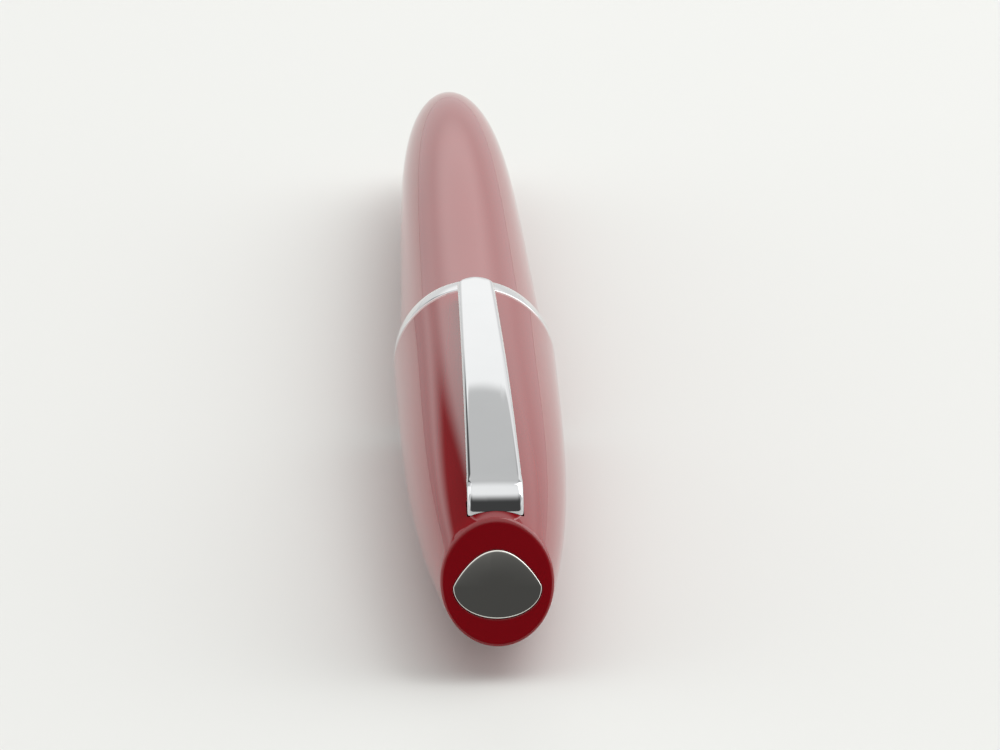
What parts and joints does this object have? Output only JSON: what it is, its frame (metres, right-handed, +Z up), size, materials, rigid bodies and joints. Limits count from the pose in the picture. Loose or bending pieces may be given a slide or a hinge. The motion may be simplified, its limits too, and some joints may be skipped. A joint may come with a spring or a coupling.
{
  "type": "fountain pen",
  "caption": "Capped fountain pen with a slanted crown, a sprung pocket clip and a screw piston converter, for writing and carrying in a pocket.",
  "frame": {"origin": "middle of the footprint, at floor height, with the pen lying on its widest ring and the clip straight up", "axes": "+Y along the pen towards the barrel's end, +Z up through the clip, +X across the pen"},
  "size_m": [0.014, 0.1404, 0.016],
  "materials": {
    "burgundy_lacquer": "high gloss lacquer over brass",
    "chrome_trim": "polished plate",
    "nib_steel": "polished stainless steel",
    "brass_inner": "turned, uncoated",
    "black_plastic": "moulded, smooth",
    "clear_plastic": "clear moulded tube",
    "black_rubber": "matt"
  },
  "bodies": {
    "section": {"section_grip": "black_plastic", "section_front_ring": "chrome_trim", "section_back_ring": "chrome_trim", "thread_collar": "chrome_trim", "nib_housing": "black_plastic", "nib": "nib_steel", "nib_tipping": "nib_steel", "feed": "black_plastic", "ink_nipple": "black_plastic"},
    "clutch": {"clutch_ring": "chrome_trim"},
    "cap": {"cap_shell": "burgundy_lacquer", "cap_ring": "chrome_trim", "inner_cap": "black_plastic", "crown_medallion": "chrome_trim", "clip_carrier": "brass_inner", "clip_pin": "nib_steel", "clip_spring": "nib_steel"},
    "clip": {"clip": "chrome_trim"},
    "seal": {"sealing_ring": "black_rubber"},
    "washer": {"mouth_ring": "chrome_trim"},
    "barrel": {"barrel_shell": "burgundy_lacquer", "barrel_bush": "brass_inner"},
    "converter": {"converter_tank": "clear_plastic", "converter_sleeve": "chrome_trim"},
    "knob": {"converter_knob": "black_plastic"},
    "piston": {"piston_seal": "black_rubber", "piston_rod": "black_plastic"}
  },
  "joints": [
    {"name": "cap_turn", "type": "hinge", "parent": "section", "child": "clutch", "pos_m": [0, 0, 0.007], "axis": [0, 1, 0], "continuous": true},
    {"name": "cap_pull", "type": "slide", "parent": "clutch", "child": "cap", "axis": [0, -1, 0], "range_m": [0, 0.062]},
    {"name": "clip_open", "type": "hinge", "parent": "cap", "child": "clip", "pos_m": [0, -0.06182, 0.0098], "axis": [1, 0, 0], "range_deg": [0, 6], "stiffness_Nm_per_rad": 0.2, "deforming": ["clip_spring"]},
    {"name": "barrel_turn", "type": "hinge", "parent": "section", "child": "seal", "pos_m": [0, 0, 0.007], "axis": [0, 1, 0], "range_deg": [0, 2700.1]},
    {"name": "barrel_lift", "type": "slide", "parent": "seal", "child": "washer", "axis": [0, 1, 0], "range_m": [0, 0.00675]},
    {"name": "barrel_pull", "type": "slide", "parent": "washer", "child": "barrel", "axis": [0, 1, 0], "range_m": [0, 0.064]},
    {"name": "converter_pull", "type": "slide", "parent": "section", "child": "converter", "axis": [0, 1, 0], "range_m": [0, 0.0063]},
    {"name": "knob_turn", "type": "hinge", "parent": "converter", "child": "knob", "pos_m": [0, 0.03918, 0.007], "axis": [0, 1, 0], "range_deg": [0, 1800.1]},
    {"name": "piston_travel", "type": "slide", "parent": "converter", "child": "piston", "axis": [0, -1, 0], "range_m": [0, 0.02]}
  ],
  "couplings": [
    {"joint": "barrel_turn", "follows": "barrel_lift", "rad_per_m": 6981.3},
    {"joint": "knob_turn", "follows": "piston_travel", "rad_per_m": 1570.8}
  ]
}
